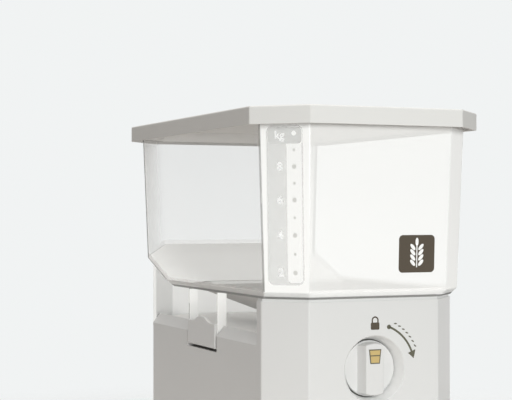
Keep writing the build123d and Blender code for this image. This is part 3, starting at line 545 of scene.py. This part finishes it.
funnel_look = {"roughness": 0.4, "depth": 0.000006, "specular": 0.0}
funnel_plastic = satin_plastic("funnel_plastic", FUNNEL_GREY, **funnel_look, within=FUNNEL_PAINTED_SHADE, retone=dusted)
dress(funnel_plastic, "outlet_funnel")
silicone = satin_plastic("silicone", color=(0.74, 0.75, 0.74), roughness=0.55, depth=0.000004)
silicone.shade({"Subsurface Weight": 0.3, "Subsurface Radius": (CLOUD_DEPTH, CLOUD_DEPTH, CLOUD_DEPTH)})
dress(silicone, "outlet_seal", "lid_gasket")

# Hopper
# One clear moulding: drafted walls, a bevelled lower edge, the sloped floor and two pairs of legs. Its front
# and the corners beside it are frosted milky white and the sides stay clear. Dark grey lines are painted
# shade along its corners, at its toe and along the sloped floor's edge.
MILK, SHADE = (0.985, 0.98, 0.965, 1), (0.22, 0.22, 0.21, 1)
FRONT_HAZE, CORNER_HAZE, SIDE_HAZE, INNER_HAZE = 0.70, 0.96, 0.06, 0.03
BEVEL_HAZE, FLOOR_HAZE, SLOPE_HAZE, LINE_HAZE, LEG_HAZE = 0.84, 0.85, 0.6, 0.8, 0.6
REAR_CORNER_HAZE, REAR_CORNER_FADE = 0.7, 0.045
LIGHT_LOSS = 0.03  # share of the haze that stops lamp light and bounced light
SHEEN, SHEEN_IOR, PLASTIC_IOR = 0.3, 1.45, 1.49
SWIRL_CELLS, SWIRL_DEPTH, SWIRL_HAZE = 14, 0.0002, 0.02
# How far the lit normal turns to the front
CORNER_TURN, BEVEL_TURN, BEVEL_RAISE, FLOOR_RAISE, FLOOR_FLATTEN = 0.5, 0.5, 0.45, 0.35, 0.4
# How far a face's normal points up or down, ahead or back, or to a side, where each kind of face begins
UPRIGHT_LEAN, FLOOR_LEAN, UNDERSIDE_LEAN = (0.25, 0.4), (0.4, 0.6), (0.86, 0.92)
BEVEL_LEAN, BEVEL_SOFT = (0.3, 0.86), 0.1
FROST_AHEAD, BEVEL_AHEAD, REAR_BACK = (0.3, 0.65), (0.2, 0.45), (0.3, 0.6)
FLANK_SIDE, CORNER_SIDE = (0.75, 0.8), (0.4, 0.6)
FRONT_LINE, REAR_LINE, SLOPE_LINE, SLOPE_BAND, LINE_EASE = 0.0024, 0.0045, 0.0018, 0.0065, 0.0006
FRONT_LINE_TONE, TOE_TONE, SLOPE_TONE = 0.8, 0.95, 0.9
TOE_HEIGHT, TOE_EASE = 0.0026, 0.0008
LEG_START, LEG_FULL = 0.0004, 0.0008
BEVEL_RISE, INNER_EASE = 0.0085, (0.05, 0.3)
FLOOR_AND_FLANGE = 0.005  # the hopper's floor, and the funnel's flange on it
PROBE_RISE, PROBE_DROP = 0.075, 0.03
SLOPE_PROBE = 0.75
hopper_low, hopper_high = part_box("hopper")
hopper_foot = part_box("outlet_funnel")[1].z - FLOOR_AND_FLANGE
probe_low, probe_high = hopper_foot + PROBE_RISE, hopper_high.z - PROBE_DROP
rear_slope = Seat("hopper", (hopper_low.x / 2, SLOPE_PROBE * hopper_high.y, -FAR), (0, 0, 1))


def flank_end(z, way):
    """How far the clear side runs at a height towards the front, way -1, or the rear, way 1.

    It ends where its plane meets the plane of the corner face.
    """
    flank = Seat("hopper", (hopper_low.x - FAR, 0, z), (1, 0, 0))
    corner_y = hopper_low.y if way < 0 else hopper_high.y
    heading = Vector((1, -way, 0)).normalized()
    face = Seat("hopper", Vector((hopper_low.x, corner_y, z)) - FAR * heading, heading)
    step = (face.place[0] - flank.place[0]) * face.out[0] / face.out[1]
    return float(way * (face.place[1] + step))


def along(finish, seat, way):
    """How far a point lies from the seat along one way."""
    here = finish.vector("SUBTRACT", finish.place(), tuple(seat.place))
    return finish.vector("DOT_PRODUCT", here, tuple(way), output="Value")


clear_plastic = Finish(bpy.data.materials.new("clear_plastic"))
normal = clear_plastic.normal()
outward = clear_plastic.outward(normal)
normal_x, normal_y, normal_z = clear_plastic.parts(normal)
place_y, height = clear_plastic.parts(clear_plastic.place())[1:]
outside = 1 - clear_plastic.inward()
side, lean, ahead = abs(normal_x), outward * normal_z, outward * -normal_y
upright = 1 - abs(lean).ramp(*UPRIGHT_LEAN)


def past_flank(way):
    """How far a point lies past the end of the clear side, towards the front or the rear."""
    low, high = flank_end(probe_low, way), flank_end(probe_high, way)
    slope = (high - low) / (probe_high - probe_low)
    return way * place_y - low - slope * (height - probe_low)


past_front, past_rear = past_flank(-1), past_flank(1)
bevel = outside * (-lean).band(*BEVEL_LEAN, BEVEL_SOFT)
front_bevel = bevel * ahead.ramp(*BEVEL_AHEAD)
side_bevel = bevel - front_bevel
inner_foot = (1 - height.ramp(hopper_foot, hopper_foot + BEVEL_RISE)).ramp(*INNER_EASE) * (1 - outside)
leg = 1 - height.ramp(hopper_foot - LEG_FULL, hopper_foot - LEG_START)
toe = 1 - height.ramp(hopper_foot + TOE_HEIGHT - TOE_EASE, hopper_foot + TOE_HEIGHT)
floor_top = lean.ramp(*FLOOR_LEAN)
level = floor_top.most((-lean).ramp(*UNDERSIDE_LEAN))
frost = outside * upright * ahead.ramp(*FROST_AHEAD)
rear_corner = outside * upright * (-ahead).ramp(*REAR_BACK) * (1 - past_rear.ramp(0, REAR_CORNER_FADE))

# Painted shade: grey lines down the front and rear corners and along the sloped floor's edge, where clear
# plastic darkens at its edges, and at the toe, where a shadow falls under the hopper.
front_line = FRONT_LINE_TONE * past_front.ramp(-FRONT_LINE, LINE_EASE - FRONT_LINE)
rear_line = past_rear.ramp(-REAR_LINE, LINE_EASE - REAR_LINE)
corner_line = outside * (upright * side.ramp(*FLANK_SIDE) * front_line.most(rear_line))
slope_rise = -along(clear_plastic, rear_slope, rear_slope.out)
slope_band = outside * upright * (1 - slope_rise.ramp(SLOPE_BAND - LINE_EASE, SLOPE_BAND))
slope_line = SLOPE_TONE * slope_band * (1 - slope_rise.ramp(SLOPE_LINE - LINE_EASE, SLOPE_LINE))
painted_edge_shade = (corner_line.most(TOE_TONE * toe * (1 - level)) * (1 - leg)).most(slope_line)

sheen = clear_plastic.node("Fresnel", inputs={"IOR": SHEEN_IOR}) * outward.most(0)
haze = INNER_HAZE + (SIDE_HAZE - INNER_HAZE) * outside + (FLOOR_HAZE - SIDE_HAZE) * level + SHEEN * sheen
for strength, region in (
    (FRONT_HAZE, frost),
    (CORNER_HAZE, frost * side.ramp(*CORNER_SIDE)),
    (BEVEL_HAZE, front_bevel),
    (REAR_CORNER_HAZE, rear_corner),
    (FLOOR_HAZE, inner_foot),
    (SLOPE_HAZE, slope_band),
    (LINE_HAZE, painted_edge_shade.most(side_bevel)),
    (LEG_HAZE, leg),
):
    haze = haze.most(strength * region)
swirl = clear_plastic.noise(SWIRL_CELLS, detail=3)
cloudy = (haze + SWIRL_HAZE * (swirl - 0.5)).least(1.0)
shadow_ray = clear_plastic.node("LightPath", output="Is Shadow Ray")
soft_ray = shadow_ray.most(shadow_ray.output("Is Diffuse Ray"))
# The front bevel is shaded as if it stood square to the front, the front corners and the side bevels as if
# they turned part of the way there, and the floor as if it rose more steeply.
turn = (CORNER_TURN * frost).most(front_bevel).most(BEVEL_TURN * side_bevel)
lit_normal = clear_plastic.direction(
    normal_x * (1 - turn),
    normal_y - FLOOR_RAISE * floor_top - BEVEL_RAISE * side_bevel,
    normal_z * (1 - bevel) * (1 - FLOOR_FLATTEN * floor_top),
)
clear_plastic.shade({
    "Base Color": clear_plastic.mix(painted_edge_shade, MILK, SHADE),
    "Roughness": 0.16 + 0.06 * swirl,
    "IOR": PLASTIC_IOR,
    "Alpha": cloudy * (1 - (1 - LIGHT_LOSS) * soft_ray),
    "Normal": clear_plastic.bump(swirl, SWIRL_DEPTH, lit_normal),
})
dress(clear_plastic, "hopper")

# Scale panel
# A clear plate bonded to the front-left corner of the hopper. A pale grey layer is printed on its back, with
# a window for the dots, and the kilogram numbers stand out of it in white.
PANEL_LAYER, PANEL_HEADER, PANEL_CLEAR = 0.33, 0.5, 0.02
LAYER_DARK, LAYER_PALE, LAYER_CELLS = (0.60, 0.60, 0.59, 1), (0.63, 0.63, 0.62, 1), 60
PRINT_SOFT = 0.0001
PANEL_RADIUS, PANEL_EASE = 0.006, 0.0003
WINDOW_LEFT, WINDOW_RIGHT = 0.0018, 0.0160
WINDOW_LOW, WINDOW_HIGH = -0.0688, 0.0692
HEADER_LEFT, HEADER_LOW = -0.0155, 0.0546
WINDOW_RADIUS = 0.0036
DIGIT_X, DOT_X = -0.0046, 0.0090
DIGIT_HEIGHT, DIGIT_GROW = 0.0072, 0.0002
DIGIT_SHARE = 0.7  # a digit's height over its font's size
MARK_HEIGHTS = {10: 0.0638, 8: 0.0343, 6: 0.0047, 4: -0.0266, 2: -0.0599}
DOT_RADIUS, SMALL_DOT = 0.0021, 0.0013
UNIT_PLACE, UNIT_HEIGHT = (-0.0047, 0.0622), 0.0072

plate_low, plate_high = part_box("scale_panel")
plate_middle = (plate_low + plate_high) / 2
diagonal = Vector((1, 1, 0)).normalized()
plate = Seat("scale_panel", plate_middle - FAR * diagonal, diagonal)
corner = Seat("hopper", plate_middle - FAR * diagonal, diagonal)
plate_thickness = float(np.linalg.norm(plate.place - corner.place))
plate_height = (plate_high.z - plate_low.z) / corner.up[2]
plate_lean = plate_height * abs(corner.up[0])
plate_width = (plate_high.x - plate_low.x - plate_lean) * math.sqrt(2) - plate_thickness
scale_print = Finish(bpy.data.materials.new("scale_print"))


def box_distance(x, y, low, high, radius):
    """Distance outside a rounded box, negative within it."""
    dx = abs(x - (low[0] + high[0]) / 2) - ((high[0] - low[0]) / 2 - radius)
    dy = abs(y - (low[1] + high[1]) / 2) - ((high[1] - low[1]) / 2 - radius)
    ax, ay = dx.most(0), dy.most(0)
    return (ax * ax + ay * ay).math("SQRT") + dx.most(dy).least(0) - radius


plate_x = along(scale_print, plate, plate.across)
plate_y = along(scale_print, plate, plate.up)
window_end = (WINDOW_RIGHT, WINDOW_HIGH)
window = box_distance(plate_x, plate_y, (WINDOW_LEFT, WINDOW_LOW), window_end, WINDOW_RADIUS)
header = box_distance(plate_x, plate_y, (HEADER_LEFT, HEADER_LOW), window_end, WINDOW_RADIUS)
opening = window.math("SMOOTH_MIN", header, WINDOW_RADIUS)
layer_mask = opening.ramp(-PRINT_SOFT, PRINT_SOFT)
header_mask = 1 - header.ramp(-PRINT_SOFT, PRINT_SOFT)
scale_print.shade({
    "Base Color": scale_print.mix(scale_print.noise(LAYER_CELLS, detail=2), LAYER_DARK, LAYER_PALE),
    "Roughness": 0.3,
    "Alpha": (PANEL_CLEAR + (PANEL_LAYER - PANEL_CLEAR) * layer_mask).most(PANEL_HEADER * header_mask),
})
plate_outline = rounded_box(0, 0, plate_width, plate_height, PANEL_RADIUS)
plate_top = rounded_box(0, 0, plate_width - 2 * PANEL_EASE, plate_height - 2 * PANEL_EASE, PANEL_RADIUS)
plate_core = np.zeros_like(plate_outline)
plate_rings = [
    (plate_core, plate_thickness),
    (plate_top, plate_thickness),
    (plate_outline, plate_thickness - PANEL_EASE),
    (plate_outline, INK_GAP),
    (plate_core, INK_GAP),
]
plate_rows = np.stack([corner.points(flat, lift) for flat, lift in plate_rings])
scale_plate = mark("scale_plate", ring_skin(plate_rows), scale_print)
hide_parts("scale_panel")

# The white figures take the light as the corner under them does.
white_ink = ink("white_ink", (0.98, 0.98, 0.97))
slant_x, slant_y, slant_z = white_ink.parts(white_ink.normal())
white_ink.shade({"Normal": white_ink.direction((1 - CORNER_TURN) * slant_x, slant_y, slant_z)})
grey_ink = ink("grey_ink", (0.76, 0.755, 0.73))


def lettering(words, height, seat, x, y):
    """Printed figures: the outline font's shapes as a thin slab, laid on the seat."""
    curve = bpy.data.curves.new("figures", "FONT")
    curve.body = words
    curve.align_x = "CENTER"
    curve.align_y = "CENTER"
    curve.size = height / DIGIT_SHARE
    curve.extrude = INK_THICKNESS / 2
    curve.offset = DIGIT_GROW
    curve.resolution_u = 4
    flat = bpy.data.objects.new("figures", curve)
    bpy.context.scene.collection.objects.link(flat)
    mesh = bpy.data.meshes.new_from_object(flat.evaluated_get(bpy.context.evaluated_depsgraph_get()))
    bpy.data.objects.remove(flat)
    mesh.materials.clear()
    points = np.empty(len(mesh.vertices) * 3)
    mesh.vertices.foreach_get("co", points)
    points = points.reshape(-1, 3)
    lift = INK_GAP + INK_THICKNESS / 2 + points[:, 2:]
    mesh.vertices.foreach_set("co", seat.points(points[:, :2] + (x, y), lift).ravel())
    clean_mesh(mesh)
    return mesh


full_bin = max(MARK_HEIGHTS)
for kilos, y in MARK_HEIGHTS.items():
    dot = patch(plate, ellipse(DOT_X, y, DOT_RADIUS, DOT_RADIUS))
    mark(f"scale_dot_{kilos}", dot, white_ink if kilos == full_bin else grey_ink)
    if kilos != full_bin:
        mark(f"scale_digit_{kilos}", lettering(str(kilos), DIGIT_HEIGHT, plate, DIGIT_X, y), white_ink)
heights = list(MARK_HEIGHTS.values())
for i, (high, low) in enumerate(zip(heights, heights[1:])):
    small_dot = patch(plate, ellipse(DOT_X, (high + low) / 2, SMALL_DOT, SMALL_DOT))
    mark(f"scale_half_{i}", small_dot, grey_ink)
mark("scale_unit", lettering("kg", UNIT_HEIGHT, plate, *UNIT_PLACE), white_ink)

# Badge
# A dark brown square printed on the hopper's front, with an ear of rice in white: plump grains in pairs
# along a stalk.
BADGE_X, BADGE_Z = 0.0379, 0.2401
BADGE_WIDTH, BADGE_HEIGHT, BADGE_RADIUS = 0.0373, 0.0343, 0.004
EAR_PAIRS = 4
EAR_LOW, EAR_STEP = -0.0082, 0.0048
EAR_LONG, EAR_SLIM = 0.0036, 0.0016
EAR_REACH, EAR_LEAN = 0.0042, math.radians(48)
STALK_WIDTH, STALK_FOOT = 0.001, 0.0042
badge_seat = front_seat("hopper", BADGE_X, BADGE_Z)
badge_outline = rounded_box(0, 0, BADGE_WIDTH, BADGE_HEIGHT, BADGE_RADIUS)
mark("badge", patch(badge_seat, badge_outline), brown_ink)
ear_top = EAR_LOW + EAR_PAIRS * EAR_STEP
stalk = line((-STALK_WIDTH / 2, EAR_LOW - STALK_FOOT), (-STALK_WIDTH / 2, ear_top - EAR_LONG / 2))
mark("badge_stalk", ribbon(badge_seat, stalk, stalk * (-1, 1), layer=1), white_ink)
for i in range(EAR_PAIRS):
    for way in (-1, 1):
        grain = ellipse(way * EAR_REACH, EAR_LOW + i * EAR_STEP, EAR_LONG, EAR_SLIM, way * EAR_LEAN)
        mark(f"badge_grain_{2 * i + (way > 0)}", patch(badge_seat, grain, layer=1), white_ink)
ear_tip = ellipse(0, ear_top, EAR_LONG, EAR_SLIM, math.pi / 2)
mark("badge_tip", patch(badge_seat, ear_tip, layer=1), white_ink)

# Lid and pack holder
# Light grey mouldings with a warm cast: the cap with its skirt, and under it the slotted box for a drying
# pack. The cap lifts straight off the hopper.
# Painted light: faces that look in towards the bin's axis are painted lighter than the cap's outside.
LID_GREY, LID_INSIDE_PAINTED_LIGHT = (0.78, 0.774, 0.752), (0.94, 0.935, 0.92)
lid_look = {"roughness": 0.4, "depth": 0.00001, "specular": 0.0}
lid_plastic = satin_plastic("lid_plastic", LID_GREY, **lid_look, within=LID_INSIDE_PAINTED_LIGHT)
dress(lid_plastic, "lid_shell", "pack_holder")

# Floor
# A pale matt floor under the bin, which thins out into the backdrop. The light that it throws back on the
# bin is set a little duller and warmer than it looks.
FLOOR_SEEN, FLOOR_BOUNCED = (0.90, 0.905, 0.905, 1), (0.76, 0.72, 0.68, 1)
FLOOR_RADIUS = 1.3
FADE_START, FADE_END = 0.3, 0.85
FLOOR_RINGS, FLOOR_FANS = 9, 64
fans = np.linspace(0, 2 * math.pi, FLOOR_FANS, endpoint=False)
reaches = np.linspace(0, FLOOR_RADIUS, FLOOR_RINGS)[:, None]
floor_points = np.stack([reaches * np.cos(fans), reaches * np.sin(fans), 0 * reaches * fans], axis=-1)
floor_mesh = ring_skin(floor_points)
floor = bpy.data.objects.new("floor", floor_mesh)
bpy.context.scene.collection.objects.link(floor)
floor_finish = Finish(bpy.data.materials.new("floor"))
floor_reach = floor_finish.vector("LENGTH", floor_finish.place(), output="Value")
bounced = floor_finish.node("LightPath", output="Is Diffuse Ray")
floor_finish.shade({
    "Base Color": floor_finish.mix(bounced, FLOOR_SEEN, FLOOR_BOUNCED),
    "Roughness": 0.9,
    "Alpha": 1 - floor_reach.ramp(FADE_START, FADE_END),
})
floor_mesh.materials.append(floor_finish.owner)

# Light
# Large soft lamps in front, overhead and at the rear right, a fainter one on the left, and an even pale
# room. The room's backdrop shows as a near white to the eye, in mirrors and through clear plastic.
BACKDROP = (0.879, 0.897, 0.897, 1)
ROOM_LIGHT = (0.20, 0.19, 0.182, 1)
bin_middle = (cad_box[0] + cad_box[1]) / 2
world = bpy.data.worlds.new("studio")
bpy.context.scene.world = world
studio = Finish(world, "Background")
camera_ray = studio.node("LightPath", output="Is Camera Ray")
seen = camera_ray.most(camera_ray.output("Is Glossy Ray")).most(camera_ray.output("Is Transmission Ray"))
studio.shade({"Color": studio.mix(seen, ROOM_LIGHT, BACKDROP), "Strength": 1.0})


def lamp(name, place, size, power, color):
    """A square area lamp that faces the middle of the bin."""
    light = bpy.data.lights.new(name, "AREA")
    light.size = size
    light.energy = power
    light.color = color
    made = bpy.data.objects.new(name, light)
    made.location = place
    made.rotation_euler = (bin_middle - Vector(place)).to_track_quat("-Z", "Y").to_euler()
    bpy.context.scene.collection.objects.link(made)


lamp("front_lamp", place=(-0.2, -2.6, 0.65), size=1.0, power=42.5, color=(0.97, 1.0, 1.0))
lamp("left_lamp", place=(-1.9, -1.9, 0.35), size=1.2, power=6.0, color=(1.0, 0.98, 0.96))
lamp("rear_lamp", place=(1.6, 1.8, 0.4), size=1.2, power=24.0, color=(1.0, 1.0, 1.0))
lamp("top_lamp", place=(-0.3, 0.0, 2.4), size=1.4, power=36.0, color=(1.0, 0.99, 0.97))

# Two pieces deep in the stand cast no shadow, which keeps the space behind its front pale.
for name in ("outlet_funnel", "drum_housing"):
    nodes[name].visible_shadow = False

# Camera
# It stands level, a little below the lid, to the left of the front.
IMAGE_WIDTH = 512
FOCAL_PIXELS = 1372.5
HORIZON_BELOW_MIDDLE = 12
SENSOR_WIDTH = 36.0
CAMERA_PLACE = (-0.5961, -1.2811, 0.2782)
CAMERA_YAW = math.radians(-23.48)
camera_data = bpy.data.cameras.new("camera")
camera_data.sensor_width = SENSOR_WIDTH
camera_data.lens = FOCAL_PIXELS * SENSOR_WIDTH / IMAGE_WIDTH
camera_data.shift_y = HORIZON_BELOW_MIDDLE / IMAGE_WIDTH
camera = bpy.data.objects.new("camera", camera_data)
camera.location = CAMERA_PLACE
camera.rotation_euler = (math.pi / 2, 0, CAMERA_YAW)
bpy.context.scene.collection.objects.link(camera)
bpy.context.scene.camera = camera
bpy.context.scene.view_settings.view_transform = "Standard"
